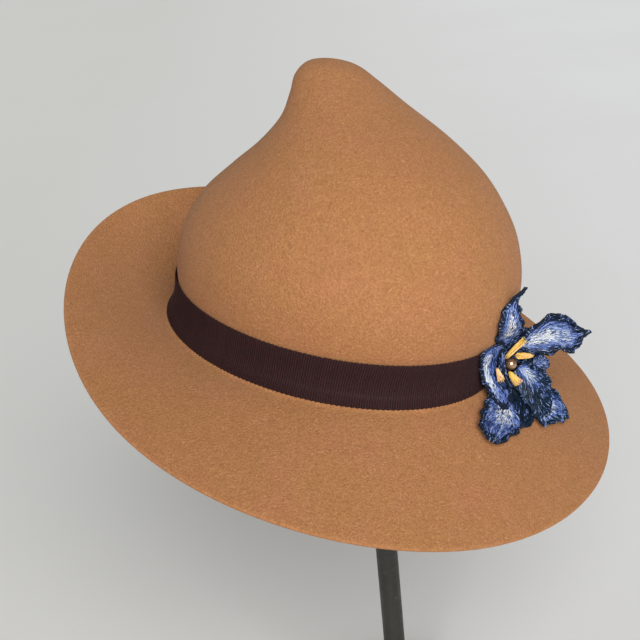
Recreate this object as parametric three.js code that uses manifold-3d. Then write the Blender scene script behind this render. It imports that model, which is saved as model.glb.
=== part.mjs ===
// A blocked felt hat with a pulled-back peak, a ribbed ribbon and an embroidered flower, on a plain stand.
// Millimetres, +Z up. The stand's foot is centred on the origin and the hat's front looks along -Y.
import * as THREE from "three";
import { mergeVertices } from "three/addons/utils/BufferGeometryUtils.js";
import Module from "manifold-3d";

const wasm = await Module();
wasm.setup();

// Felt body
const HEAD_LENGTH = 202.6; // outside of the crown at the brim, front to back
const HEAD_WIDTH = 168.4;
const CROWN_HEIGHT = 151;
const FELT = 2.4;
const BREAK_ROUND = 2.4; // rounding where the crown turns into the brim
const BRIM_BOW = 1.15; // 1 is a straight slope from crown to edge, more starts flatter

// Ribbon
const RIBBON_WIDTH = 25;
const RIBBON_THICKNESS = 0.8;
const RIBBON_LIFT = 1.4; // lower edge above the brim
const RIBBON_CLEARANCE = 0.6; // between the felt and the ribbon's back

// Stand
const STAND_HEIGHT = 380; // table to where the rod enters the cap
const ROD_DIAMETER = 13;
const FOOT_DIAMETER = 160;
const FOOT_THICKNESS = 8;
const FOOT_CHAMFER = 1.5;
const SOCKET_DEPTH = 14;
const CAP_FROM = 0.63; // the cap's span, as shares of the crown's height
const CAP_TO = 0.8;

// How the hat sits on the stand
const TILT_FORWARD = 7.5; // degrees
const TILT_LEFT = 8.5;
const SEAT_LEFT = -3; // where the rod's axis meets the cap's underside, in the hat's own frame
const SEAT_FRONT = 10.4;

const GAP = 0.3; // between pieces that touch

// Crown sections from brim to tip. Height is a share of the crown's height. Size and forward
// shift are shares of half the head length.
const CROWN_SECTIONS = [
  { height: 0, size: 1, forward: -0.001 },
  { height: 0.06, size: 0.949, forward: 0.017 },
  { height: 0.14, size: 0.927, forward: 0.039 },
  { height: 0.22, size: 0.962, forward: 0.068 },
  { height: 0.34, size: 0.951, forward: 0.096 },
  { height: 0.48, size: 0.873, forward: 0.123 },
  { height: 0.6, size: 0.735, forward: 0.158 },
  { height: 0.7, size: 0.593, forward: 0.167 },
  { height: 0.8, size: 0.43, forward: 0.097 },
  { height: 0.88, size: 0.295, forward: -0.041 },
  { height: 0.94, size: 0.203, forward: -0.145 },
  { height: 0.98, size: 0.118, forward: -0.185 },
  { height: 1, size: 0, forward: -0.197 },
];

// Brim edge at equal steps from front to back, the same on both sides. Reach is measured from the
// middle of the head as a share of half the head length, rise as a share of the crown's height.
const BRIM_STATIONS = [
  { station: "front", reach: 1.661, rise: -0.26 },
  { station: "front quarter", reach: 1.617, rise: -0.189 },
  { station: "side", reach: 1.481, rise: -0.051 },
  { station: "back quarter", reach: 1.436, rise: 0.161 },
  { station: "back", reach: 1.458, rise: 0.275 },
];

// Flower. The bead's middle is the flower's own origin. Its X runs to the flower's right, its Y up
// and its Z forward out of its face.
const FLOWER_TURN = 23; // degrees round the crown from the front to the wearer's left
const FLOWER_HEIGHT = 15; // above the brim
const FLOWER_STANDOFF = 11.4; // from the ribbon out to the bead
const FLOWER_FACE = -10; // degrees the face turns from straight ahead
const FLOWER_LIFT = 8; // degrees the face looks up
const PETAL_REACH = 50; // from the bead to the tip of the longest petal
const PETAL_THICKNESS = 1.2;
const BEARD_WIDTH = 3.2;
const BEAD_DIAMETER = 6.4;
const HUB_DIAMETER = 12;
const HUB_INSET = 7.5; // the hub's front behind the bead's middle, the ribbon sets its back
const PIN_DIAMETER = 1.6;

// Petals. Turn is the way a petal points, in degrees from the flower's right, turning to the left.
// Each section lies across the petal at a distance from the bead, between its right and its left
// edge as seen along the petal. The lifts are the heights of the right edge, the middle and the left.
// All lengths are shares of the petals' reach.
const PETALS = [
  {
    name: "petal_left",
    turn: -90,
    sections: [
      { at: -0.25, right: -0.55, left: -0.14, liftRight: 0.19, lift: 0.06, liftLeft: -0.02 },
      { at: -0.16, right: -0.53, left: -0.08, liftRight: 0.14, lift: 0, liftLeft: -0.07 },
      { at: -0.04, right: -0.46, left: -0.07, liftRight: 0.06, lift: -0.06, liftLeft: -0.09 },
      { at: 0.08, right: -0.4, left: -0.06, liftRight: 0.03, lift: -0.08, liftLeft: -0.09 },
      { at: 0.2, right: -0.34, left: -0.02, liftRight: 0.02, lift: -0.04, liftLeft: -0.04 },
      { at: 0.28, right: -0.31, left: -0.02, liftRight: 0.08, lift: 0.05, liftLeft: 0.04 },
      { at: 0.34, right: -0.28, left: -0.09, liftRight: 0.15, lift: 0.13, liftLeft: 0.14 },
      { at: 0.4, right: -0.25, left: -0.17, liftRight: 0.21, lift: 0.2, liftLeft: 0.21 },
    ],
  },
  {
    name: "petal_left_fold",
    turn: -80,
    sections: [
      { at: -0.2, right: -0.14, left: -0.11, liftRight: 0.02, lift: 0.02, liftLeft: 0.02 },
      { at: -0.08, right: -0.14, left: -0.08, liftRight: -0.02, lift: 0, liftLeft: -0.02 },
      { at: 0.04, right: -0.13, left: -0.08, liftRight: -0.02, lift: 0.01, liftLeft: -0.02 },
      { at: 0.14, right: -0.1, left: -0.04, liftRight: 0, lift: 0.02, liftLeft: 0 },
      { at: 0.24, right: -0.07, left: -0.02, liftRight: 0.05, lift: 0.06, liftLeft: 0.05 },
    ],
  },
  {
    name: "lip",
    turn: -45,
    sections: [
      { at: 0.09, right: -0.07, left: 0.13, liftRight: 0, lift: 0.02, liftLeft: 0 },
      { at: 0.22, right: -0.14, left: 0.24, liftRight: 0.03, lift: 0.06, liftLeft: 0.04 },
      { at: 0.36, right: -0.19, left: 0.22, liftRight: 0.13, lift: 0.12, liftLeft: 0.06 },
      { at: 0.48, right: -0.26, left: 0.19, liftRight: 0.24, lift: 0.17, liftLeft: 0.08 },
      { at: 0.57, right: -0.21, left: 0.13, liftRight: 0.27, lift: 0.2, liftLeft: 0.11 },
      { at: 0.64, right: -0.12, left: 0.02, liftRight: 0.25, lift: 0.21, liftLeft: 0.16 },
    ],
  },
  {
    name: "lip_lobe",
    turn: -95,
    sections: [
      { at: 0.27, right: 0.04, left: 0.17, liftRight: -0.02, lift: 0, liftLeft: -0.02 },
      { at: 0.36, right: 0.04, left: 0.27, liftRight: 0.04, lift: 0.06, liftLeft: 0.04 },
      { at: 0.44, right: 0.02, left: 0.26, liftRight: 0.15, lift: 0.15, liftLeft: 0.12 },
      { at: 0.52, right: -0.02, left: 0.24, liftRight: 0.26, lift: 0.24, liftLeft: 0.21 },
      { at: 0.58, right: -0.02, left: 0.14, liftRight: 0.35, lift: 0.33, liftLeft: 0.31 },
    ],
  },
  {
    name: "lip_crest",
    turn: -10,
    sections: [
      { at: 0.22, right: -0.02, left: 0.08, liftRight: 0.07, lift: 0.09, liftLeft: 0.07 },
      { at: 0.3, right: -0.02, left: 0.13, liftRight: 0.1, lift: 0.12, liftLeft: 0.1 },
      { at: 0.36, right: -0.01, left: 0.11, liftRight: 0.12, lift: 0.14, liftLeft: 0.12 },
      { at: 0.4, right: 0.02, left: 0.06, liftRight: 0.13, lift: 0.14, liftLeft: 0.13 },
    ],
  },
  {
    name: "petal_right",
    turn: 20,
    sections: [
      { at: 0.09, right: 0, left: 0.09, liftRight: -0.13, lift: -0.13, liftLeft: -0.13 },
      { at: 0.18, right: 0.03, left: 0.2, liftRight: -0.05, lift: -0.04, liftLeft: 0 },
      { at: 0.28, right: 0, left: 0.29, liftRight: 0.02, lift: 0, liftLeft: 0.08 },
      { at: 0.4, right: -0.06, left: 0.4, liftRight: 0.12, lift: 0.08, liftLeft: 0.18 },
      { at: 0.52, right: -0.05, left: 0.41, liftRight: 0.18, lift: 0.16, liftLeft: 0.26 },
      { at: 0.64, right: -0.11, left: 0.31, liftRight: 0.24, lift: 0.22, liftLeft: 0.3 },
      { at: 0.7, right: -0.05, left: 0.19, liftRight: 0.28, lift: 0.26, liftLeft: 0.32 },
      { at: 0.76, right: 0.05, left: 0.12, liftRight: 0.34, lift: 0.32, liftLeft: 0.34 },
      { at: 0.82, right: 0.07, left: 0.08, liftRight: 0.36, lift: 0.36, liftLeft: 0.36 },
    ],
  },
  {
    name: "petal_top",
    turn: 90,
    sections: [
      { at: 0.18, right: -0.04, left: 0.12, liftRight: -0.11, lift: -0.12, liftLeft: -0.1 },
      { at: 0.26, right: -0.08, left: 0.22, liftRight: -0.07, lift: -0.07, liftLeft: -0.04 },
      { at: 0.34, right: -0.11, left: 0.34, liftRight: 0, lift: 0.01, liftLeft: 0.13 },
      { at: 0.46, right: -0.02, left: 0.4, liftRight: 0.13, lift: 0.13, liftLeft: 0.21 },
      { at: 0.58, right: 0.08, left: 0.41, liftRight: 0.19, lift: 0.2, liftLeft: 0.25 },
      { at: 0.68, right: 0.14, left: 0.37, liftRight: 0.22, lift: 0.22, liftLeft: 0.25 },
      { at: 0.76, right: 0.18, left: 0.29, liftRight: 0.23, lift: 0.23, liftLeft: 0.25 },
      { at: 0.84, right: 0.13, left: 0.18, liftRight: 0.24, lift: 0.24, liftLeft: 0.25 },
      { at: 0.89, right: 0.09, left: 0.11, liftRight: 0.25, lift: 0.25, liftLeft: 0.25 },
    ],
  },
  {
    name: "petal_low_left",
    turn: -125,
    sections: [
      { at: 0.26, right: -0.02, left: 0.1, liftRight: -0.1, lift: -0.1, liftLeft: -0.08 },
      { at: 0.32, right: -0.04, left: 0.18, liftRight: -0.04, lift: 0, liftLeft: 0.04 },
      { at: 0.4, right: -0.08, left: 0.23, liftRight: 0.03, lift: 0.1, liftLeft: 0.19 },
      { at: 0.48, right: -0.14, left: 0.25, liftRight: 0.11, lift: 0.21, liftLeft: 0.31 },
      { at: 0.56, right: -0.19, left: 0.2, liftRight: 0.19, lift: 0.3, liftLeft: 0.4 },
      { at: 0.64, right: -0.26, left: 0.1, liftRight: 0.27, lift: 0.38, liftLeft: 0.46 },
      { at: 0.74, right: -0.31, left: -0.04, liftRight: 0.38, lift: 0.46, liftLeft: 0.52 },
      { at: 0.85, right: -0.25, left: -0.15, liftRight: 0.5, lift: 0.53, liftLeft: 0.56 },
    ],
  },
  {
    name: "petal_low_right",
    turn: -40,
    sections: [
      { at: 0.36, right: -0.18, left: -0.04, liftRight: 0.06, lift: 0, liftLeft: -0.02 },
      { at: 0.48, right: -0.3, left: 0.05, liftRight: 0.24, lift: 0.09, liftLeft: 0 },
      { at: 0.58, right: -0.34, left: 0.07, liftRight: 0.32, lift: 0.14, liftLeft: 0 },
      { at: 0.68, right: -0.28, left: 0.08, liftRight: 0.31, lift: 0.16, liftLeft: 0 },
      { at: 0.8, right: -0.2, left: 0.08, liftRight: 0.28, lift: 0.17, liftLeft: 0.03 },
      { at: 0.92, right: -0.15, left: 0.03, liftRight: 0.25, lift: 0.17, liftLeft: 0.08 },
      { at: 1.02, right: -0.08, left: -0.02, liftRight: 0.21, lift: 0.17, liftLeft: 0.13 },
    ],
  },
];

// Beards: short tapered strips of stitching that lie on the petals. Their ends are X, Y and Z as
// shares of the petals' reach, their widths shares of the beard width.
const BEARDS = [
  { name: "beard_top", from: [-0.09, 0.09, 0.03], to: [0.09, 0.285, 0.105], widths: [0.7, 1] },
  { name: "beard_right", from: [0.08, 0.07, 0.035], to: [0.28, 0.065, 0.09], widths: [0.8, 0.8] },
  { name: "beard_left", from: [-0.16, -0.05, -0.035], to: [-0.13, -0.195, 0.01], widths: [1.05, 0.55] },
  { name: "beard_low", from: [-0.005, -0.105, 0.045], to: [0.09, -0.25, 0.11], widths: [0.6, 1.4] },
];

const AROUND = 56; // facets round the hat
const CROWN_STEPS = 18;
const BREAK_STEPS = 3;
const BRIM_STEPS = 5;

const radians = THREE.MathUtils.degToRad;
const lerp = THREE.MathUtils.lerp;
const crownProfile = new THREE.CatmullRomCurve3(
  CROWN_SECTIONS.map((s) => new THREE.Vector3(s.size, s.forward, s.height)),
  false,
  "centripetal",
);

// A point of the crown's outside: along runs from 0 at the brim to 1 at the tip.
function crownPoint(along, angle) {
  const { x: size, y: forward, z: height } = crownProfile.getPoint(along);
  const roundness = lerp(HEAD_WIDTH / HEAD_LENGTH, 1, THREE.MathUtils.clamp(height, 0, 1));
  const halfLength = (size * HEAD_LENGTH) / 2;
  return new THREE.Vector3(
    halfLength * roundness * Math.sin(angle),
    (-forward * HEAD_LENGTH) / 2 - halfLength * Math.cos(angle),
    height * CROWN_HEIGHT,
  );
}

// The share of the crown profile at which it passes a height, found by halving.
function alongAtHeight(height) {
  let low = 0;
  let high = 1;
  for (let i = 0; i < 40; i++) {
    const middle = (low + high) / 2;
    if (crownProfile.getPoint(middle).z < height) low = middle;
    else high = middle;
  }
  return (low + high) / 2;
}

// A smooth even curve round the hat through one column of the brim's stations.
function roundBrim(column, angle) {
  const last = BRIM_STATIONS.length - 1;
  let sum = 0;
  for (let wave = 0; wave <= last; wave++) {
    let weight = 0;
    BRIM_STATIONS.forEach((station, i) => {
      const share = i === 0 || i === last ? 0.5 : 1;
      weight += share * station[column] * Math.cos((Math.PI * wave * i) / last);
    });
    sum += (wave === 0 || wave === last ? 1 : 2) * (weight / last) * Math.cos(wave * angle);
  }
  return sum;
}

// A point of the brim's upper side: along runs from 0 at the crown to 1 at the edge.
function brimPoint(along, angle) {
  const reach = (roundBrim("reach", angle) * HEAD_LENGTH) / 2;
  const edge = new THREE.Vector3(reach * Math.sin(angle), -reach * Math.cos(angle), 0);
  const point = crownPoint(0, angle).lerp(edge, along);
  point.z = roundBrim("rise", angle) * CROWN_HEIGHT * along ** BRIM_BOW;
  return point;
}

// The rings of the felt's outside, from the tip down over the crown and out to the brim's edge.
function outsideRings() {
  const angles = Array.from({ length: AROUND }, (_, i) => (2 * Math.PI * i) / AROUND);
  const wallFoot = alongAtHeight(BREAK_ROUND / CROWN_HEIGHT);
  const brimStart = (BREAK_ROUND * 2) / (HEAD_LENGTH / 2);
  const rings = [];
  for (let i = 0; i <= CROWN_STEPS; i++) {
    const along = lerp(1, wallFoot, i / CROWN_STEPS);
    rings.push(angles.map((angle) => crownPoint(along, angle)));
  }
  for (let i = 1; i <= BREAK_STEPS; i++) {
    const share = i / (BREAK_STEPS + 1);
    rings.push(angles.map((angle) => new THREE.QuadraticBezierCurve3(
      crownPoint(wallFoot, angle),
      crownPoint(0, angle),
      brimPoint(brimStart, angle),
    ).getPoint(share)));
  }
  for (let i = 0; i <= BRIM_STEPS; i++) {
    const along = lerp(brimStart, 1, i / BRIM_STEPS);
    rings.push(angles.map((angle) => brimPoint(along, angle)));
  }
  rings[0] = [rings[0][0]];
  return rings;
}

// The rings moved by a distance along the surface's normal: inwards where it is positive.
function offsetRings(rings, distance) {
  const at = (ring, i) => ring[(i + ring.length) % ring.length];
  return rings.map((ring, r) => ring.map((point, i) => {
    const above = rings[Math.max(r - 1, 0)];
    const below = rings[Math.min(r + 1, rings.length - 1)];
    const down = at(below, i).clone().sub(at(above, i));
    const round = at(ring, i + 1).clone().sub(at(ring, i - 1));
    const normal = new THREE.Vector3().crossVectors(down, round);
    if (ring.length === 1) tipNormal(rings[1], normal);
    return point.clone().addScaledVector(normal.normalize(), -distance);
  }));
}

// The direction straight out of the ring next to the tip.
function tipNormal(ring, normal) {
  const quarter = ring.length / 4;
  const across = ring[0].clone().sub(ring[2 * quarter]);
  const along = ring[quarter].clone().sub(ring[3 * quarter]);
  return normal.crossVectors(across, along);
}

// One closed skin over rings of points. A ring of one point is a pole. A loop joins its ends.
function skin(rings, loop = false) {
  const positions = [];
  const add = (...points) => points.forEach((p) => positions.push(p.x, p.y, p.z));
  const pairs = rings.slice(1).map((ring, i) => [rings[i], ring]);
  if (loop) pairs.push([rings[rings.length - 1], rings[0]]);
  for (const [a, b] of pairs) {
    const count = Math.max(a.length, b.length);
    for (let i = 0; i < count; i++) {
      const next = (i + 1) % count;
      if (b.length === 1) add(a[i], a[next], b[0]);
      else if (a.length === 1) add(a[0], b[next], b[i]);
      else add(a[i], a[next], b[next], a[i], b[next], b[i]);
    }
  }
  const geometry = new THREE.BufferGeometry();
  geometry.setAttribute("position", new THREE.Float32BufferAttribute(positions, 3));
  geometry.computeVertexNormals();
  return geometry;
}

function middleOf(ring) {
  return ring.reduce((sum, p) => sum.add(p), new THREE.Vector3()).divideScalar(ring.length);
}

// A closed geometry as a solid that can be cut or joined.
function toSolid(geometry, matrix = new THREE.Matrix4()) {
  const bare = geometry.clone().applyMatrix4(matrix);
  bare.deleteAttribute("normal");
  bare.deleteAttribute("uv");
  const merged = mergeVertices(bare, 1e-3);
  return new wasm.Manifold(new wasm.Mesh({
    numProp: 3,
    vertProperties: merged.attributes.position.array,
    triVerts: new Uint32Array(merged.index.array),
  }));
}

function toGeometry(solid) {
  const mesh = solid.getMesh();
  const geometry = new THREE.BufferGeometry();
  geometry.setAttribute("position", new THREE.BufferAttribute(mesh.vertProperties, 3));
  geometry.setIndex(new THREE.BufferAttribute(mesh.triVerts, 1));
  geometry.computeVertexNormals();
  return geometry;
}

const feltMaterial = new THREE.MeshStandardMaterial({ color: 0xb98453, roughness: 0.95 });
const ribbonMaterial = new THREE.MeshStandardMaterial({ color: 0x382425, roughness: 0.75 });
const metalMaterial = new THREE.MeshStandardMaterial({ color: 0x35342f, roughness: 0.45, metalness: 0.7 });
const padMaterial = new THREE.MeshStandardMaterial({ color: 0x2c2b29, roughness: 0.9 });
const petalMaterial = new THREE.MeshStandardMaterial({ color: 0x5f73b4, roughness: 0.6 });
const lipMaterial = new THREE.MeshStandardMaterial({ color: 0x16263f, roughness: 0.6 });
const beardMaterial = new THREE.MeshStandardMaterial({ color: 0xe0ab5c, roughness: 0.6 });
const beadMaterial = new THREE.MeshStandardMaterial({ color: 0xa9825a, roughness: 0.25, metalness: 0.4 });

function piece(name, geometry, material) {
  const mesh = new THREE.Mesh(geometry, material);
  mesh.name = name;
  return mesh;
}

const outside = outsideRings();

// Extra is added all over the felt's outer side.
function feltSkin(extra = 0) {
  return skin([...offsetRings(outside, FELT), ...offsetRings(outside, -extra).toReversed()]);
}

// The level direction straight out of the crown.
function outwardAt(angle) {
  const x = Math.sin(angle) / HEAD_WIDTH;
  const y = -Math.cos(angle) / HEAD_LENGTH;
  return new THREE.Vector3(x, y, 0).normalize();
}

// The ribbon follows the crown's outside between two heights above the brim.
function ribbonRings(offset) {
  const angles = Array.from({ length: AROUND }, (_, i) => (2 * Math.PI * i) / AROUND);
  const steps = 4;
  const rings = [];
  for (let i = 0; i <= steps; i++) {
    const height = RIBBON_LIFT + (RIBBON_WIDTH * i) / steps;
    const along = alongAtHeight(height / CROWN_HEIGHT);
    rings.push(angles.map((angle) => {
      return crownPoint(along, angle).addScaledVector(outwardAt(angle), offset);
    }));
  }
  return rings;
}

// Extra is added all over the ribbon's outer side.
function ribbonSkin(extra = 0) {
  const inner = ribbonRings(RIBBON_CLEARANCE);
  const outer = ribbonRings(RIBBON_CLEARANCE + RIBBON_THICKNESS + extra);
  return skin([...inner.toReversed(), ...outer], true);
}

// One section of a petal as points across it, bent through the heights of its edges and middle.
function petalSection({ turn }, section, count) {
  const { at, right, left, liftRight, lift, liftLeft } = section;
  const sine = Math.sin(radians(turn));
  const cosine = Math.cos(radians(turn));
  return Array.from({ length: count }, (_, i) => {
    const share = i / (count - 1);
    const side = lerp(right, left, share);
    const bow = 4 * share * (1 - share) * (lift - (liftRight + liftLeft) / 2);
    return new THREE.Vector3(
      at * cosine - side * sine,
      at * sine + side * cosine,
      lerp(liftRight, liftLeft, share) + bow,
    ).multiplyScalar(PETAL_REACH);
  });
}

// A closed petal of even thickness, swept through its sections. Extra is added all over it.
function petalSkin(petal, extra = 0) {
  const across = 7;
  const last = petal.sections.length - 1;
  const middle = petal.sections.map((section, i) => petalSection(petal, {
    ...section,
    at: section.at + (((i === last) - (i === 0)) * extra) / PETAL_REACH,
    right: section.right - extra / PETAL_REACH,
    left: section.left + extra / PETAL_REACH,
  }, across));
  const sides = [1, -1].map((side) => offsetGrid(middle, side * (PETAL_THICKNESS / 2 + extra)));
  const rings = middle.map((_, r) => [...sides[0][r], ...sides[1][r].toReversed()]);
  const ends = [middle[0], middle[middle.length - 1]].map((row) => [row[(across - 1) / 2]]);
  return skin([ends[0], ...rings, ends[1]]);
}

// An open grid of points moved along its normals.
function offsetGrid(grid, distance) {
  const pick = (list, i) => list[THREE.MathUtils.clamp(i, 0, list.length - 1)];
  return grid.map((row, r) => row.map((point, i) => {
    const along = pick(grid, r + 1)[i].clone().sub(pick(grid, r - 1)[i]);
    const across = pick(row, i + 1).clone().sub(pick(row, i - 1));
    const normal = new THREE.Vector3().crossVectors(across, along).normalize();
    return point.clone().addScaledVector(normal, distance);
  }));
}

function beardSkin({ from, to, widths }, extra = 0) {
  const start = new THREE.Vector3(...from).multiplyScalar(PETAL_REACH);
  const end = new THREE.Vector3(...to).multiplyScalar(PETAL_REACH);
  const direction = end.clone().sub(start).normalize();
  const turn = new THREE.Quaternion().setFromUnitVectors(new THREE.Vector3(0, 0, 1), direction);
  const steps = [0, 0.12, 0.5, 0.88, 1];
  const rings = steps.map((share, i) => {
    const blunt = i % (steps.length - 1) ? 1 : 0.6;
    const radius = (lerp(...widths, share) * BEARD_WIDTH * blunt) / 2 + extra;
    const centre = start.clone().lerp(end, share);
    return Array.from({ length: 8 }, (_, k) => {
      const angle = (2 * Math.PI * k) / 8;
      const round = new THREE.Vector3(radius * Math.cos(angle), radius * Math.sin(angle), 0);
      return round.applyQuaternion(turn).add(centre);
    });
  });
  return skin([[start], ...rings, [end]]);
}

// The largest body of a solid, for a petal that a neighbour cuts across.
function largestBody(solid) {
  return solid.decompose().reduce((best, body) => (body.volume() > best.volume() ? body : best));
}

// The hub: a round foot that rests on the ribbon, and the pin that carries the bead.
function hubSolid() {
  const depth = 1.5 * FLOWER_STANDOFF;
  const foot = new THREE.CylinderGeometry(HUB_DIAMETER / 2, HUB_DIAMETER / 2, depth, 20);
  foot.rotateX(Math.PI / 2).translate(0, 0, -HUB_INSET - depth / 2);
  const pin = pinGeometry(HUB_INSET - BEAD_DIAMETER / 2, 0);
  return toSolid(foot).add(toSolid(pin.translate(0, 0, -GAP)));
}

// A rod of the pin's size from the hub's front towards the bead.
function pinGeometry(length, extra) {
  const radius = PIN_DIAMETER / 2 + extra;
  const pin = new THREE.CylinderGeometry(radius, radius, length, 8).rotateX(Math.PI / 2);
  return pin.translate(0, 0, -HUB_INSET + length / 2);
}

// The flower in its own frame. Pieces made earlier push the later ones back by the gap.
function flower() {
  const group = new THREE.Group();
  const turn = radians(FLOWER_TURN);
  const along = alongAtHeight(FLOWER_HEIGHT / CROWN_HEIGHT);
  const standoff = RIBBON_CLEARANCE + RIBBON_THICKNESS + FLOWER_STANDOFF;
  group.position.copy(crownPoint(along, turn)).addScaledVector(outwardAt(turn), standoff);
  group.rotation.set(radians(90 - FLOWER_LIFT), 0, radians(FLOWER_FACE), "ZXY");
  group.updateMatrix();

  const back = group.matrix.clone().invert();
  const made = [];
  const grown = [toSolid(ribbonSkin(GAP), back), toSolid(feltSkin(GAP), back)];
  const place = (name, solid, wide, material) => {
    const cut = largestBody(solid.subtract(wasm.Manifold.union(grown)));
    made.push(piece(name, toGeometry(cut), material));
    grown.push(wide);
  };
  const bead = (radius) => toSolid(new THREE.SphereGeometry(radius, 16, 12));
  const clear = bead(BEAD_DIAMETER / 2 + GAP).add(toSolid(pinGeometry(HUB_INSET, GAP)));
  place("bead", bead(BEAD_DIAMETER / 2), clear, beadMaterial);
  for (const beard of BEARDS) {
    place(beard.name, toSolid(beardSkin(beard)), toSolid(beardSkin(beard, GAP)), beardMaterial);
  }
  for (const petal of PETALS) {
    const material = petal.name.startsWith("lip") ? lipMaterial : petalMaterial;
    place(petal.name, toSolid(petalSkin(petal)), toSolid(petalSkin(petal, GAP)), material);
  }
  const holes = [...grown.slice(0, 2), ...grown.slice(3)];
  const hub = largestBody(hubSolid().subtract(wasm.Manifold.union(holes)));
  made.push(piece("flower_hub", toGeometry(hub), metalMaterial));
  group.add(...made);
  return group;
}

const tilt = new THREE.Euler(radians(TILT_FORWARD), radians(TILT_LEFT), 0);
const seat = new THREE.Vector3(SEAT_LEFT, -SEAT_FRONT, CAP_FROM * CROWN_HEIGHT);

// The cap fills the upper crown just under the felt, with a socket for the tilted rod.
function standCap() {
  const under = offsetRings(outside, FELT + GAP);
  const spans = under.filter((ring) => {
    const height = middleOf(ring).z / CROWN_HEIGHT;
    return ring.length > 1 && height > CAP_FROM && height < CAP_TO;
  });
  const top = middleOf(spans[0]);
  const lowest = spans[spans.length - 1];
  const flat = lowest.map((p) => new THREE.Vector3(p.x, p.y, seat.z));
  const body = skin([[top], ...spans, flat, [middleOf(flat)]].toReversed());
  const length = 2 * SOCKET_DEPTH;
  const socket = new THREE.CylinderGeometry(
    ROD_DIAMETER / 2 + GAP,
    ROD_DIAMETER / 2 + GAP,
    length,
    24,
  ).rotateX(Math.PI / 2);
  const upright = new THREE.Quaternion().setFromEuler(tilt).invert();
  const place = new THREE.Matrix4().compose(seat, upright, new THREE.Vector3(1, 1, 1));
  return piece("stand_cap", toGeometry(toSolid(body).subtract(toSolid(socket, place))), padMaterial);
}

function standFoot() {
  const radius = FOOT_DIAMETER / 2;
  const profile = [
    new THREE.Vector2(0, 0),
    new THREE.Vector2(radius, 0),
    new THREE.Vector2(radius, FOOT_THICKNESS - FOOT_CHAMFER),
    new THREE.Vector2(radius - FOOT_CHAMFER, FOOT_THICKNESS),
    new THREE.Vector2(0, FOOT_THICKNESS),
  ];
  return piece("stand_foot", new THREE.LatheGeometry(profile, 64).rotateX(Math.PI / 2), metalMaterial);
}

function standRod() {
  const top = STAND_HEIGHT + SOCKET_DEPTH - GAP;
  const length = top - FOOT_THICKNESS;
  const radius = ROD_DIAMETER / 2;
  const rod = new THREE.CylinderGeometry(radius, radius, length, 24).rotateX(Math.PI / 2);
  return piece("stand_rod", rod.translate(0, 0, FOOT_THICKNESS + length / 2), metalMaterial);
}

const part = new THREE.Group();
const hat = new THREE.Group();
hat.rotation.copy(tilt);
hat.position.set(0, 0, STAND_HEIGHT).sub(seat.clone().applyEuler(tilt));
hat.add(
  piece("felt_body", feltSkin(), feltMaterial),
  piece("ribbon", ribbonSkin(), ribbonMaterial),
  standCap(),
  flower(),
);
part.add(hat, standRod(), standFoot());

export default part;
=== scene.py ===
# A felt hat with a drawn-up peak, a ribbed ribbon and an embroidered flower, on a plain stand.
# Metres, +Z up. The stand's foot is centred on the origin and the hat's front looks along -Y.
# Angles are in degrees unless said otherwise.
import math

import bpy
import numpy as np
from mathutils import Matrix, Vector, noise


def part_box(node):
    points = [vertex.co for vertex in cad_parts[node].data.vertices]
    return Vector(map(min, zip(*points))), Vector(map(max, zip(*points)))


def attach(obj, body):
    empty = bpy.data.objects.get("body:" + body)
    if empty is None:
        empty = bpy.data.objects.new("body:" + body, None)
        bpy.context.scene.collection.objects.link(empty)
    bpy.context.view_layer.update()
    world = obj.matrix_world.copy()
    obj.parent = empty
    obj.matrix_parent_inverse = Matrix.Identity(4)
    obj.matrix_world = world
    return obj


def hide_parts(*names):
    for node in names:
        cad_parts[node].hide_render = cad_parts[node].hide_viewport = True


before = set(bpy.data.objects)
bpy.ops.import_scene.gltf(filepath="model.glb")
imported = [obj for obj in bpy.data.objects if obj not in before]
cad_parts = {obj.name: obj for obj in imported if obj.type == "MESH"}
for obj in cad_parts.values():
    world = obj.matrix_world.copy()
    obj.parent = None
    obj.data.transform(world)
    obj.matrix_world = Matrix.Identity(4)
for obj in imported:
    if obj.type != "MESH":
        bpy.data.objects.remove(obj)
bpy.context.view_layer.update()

# The hat's sizes. The crown, the brim and the flower were corrected a little against the photo, so
# their numbers aren't quite the frame's.
HEAD_LENGTH = 0.2026
HEAD_WIDTH = 0.1684
CROWN_HEIGHT = 0.151
FELT = 0.0024
BREAK_ROUND = 0.0024  # how far up the crown the bend into the brim starts
BREAK_END = 2 * BREAK_ROUND / (HEAD_LENGTH / 2)  # where it ends, as a share of the brim's reach
BRIM_BOW = 1.15  # over 1, the brim gets steeper towards its edge
BRIM_WIDER_LEFT = 0.045  # more reach on the wearer's left, as a share of half the head length
RIBBON_WIDTH = 0.025
RIBBON_THICKNESS = 0.0008
RIBBON_LIFT = 0.0014  # from the crown's foot up to the lower edge
RIBBON_CLEARANCE = 0.0006  # between the felt and the ribbon's back
STAND_HEIGHT = 0.38  # from the table up to the hat's seat

# The hat's seat, the point inside its crown that is straight over the foot's middle, and its tilt
SEAT_LEFT = -0.003
SEAT_FRONT = 0.0104
SEAT_SHARE = 0.63  # of the crown's height
TILT_FORWARD = 7.5
TILT_LEFT = 8.5

# The flower's place and sizes. The bead's middle is the flower's own origin.
FLOWER_TURN = 22  # round the crown from the front to the wearer's left
FLOWER_HEIGHT = 0.015  # above the crown's foot
FLOWER_STANDOFF = 0.0102  # from the ribbon's front to the bead's middle
FLOWER_FACE = -10  # how far the face turns from straight ahead to the wearer's left
FLOWER_LIFT = 8  # how far the face looks up
PETAL_REACH = 0.05
BEARD_WIDTH = 0.0032
BEAD_DIAMETER = 0.0064

# Camera
CAMERA_PLACE = (-0.3961, -0.4596, 0.5505)
CAMERA_LOOK = (0.5726, 0.7253, -0.3821)
CAMERA_ROLL = -5.8
CAMERA_LENS = 66.4  # millimetres
CAMERA_SENSOR = 36
CAMERA_CLIP = 50

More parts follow.
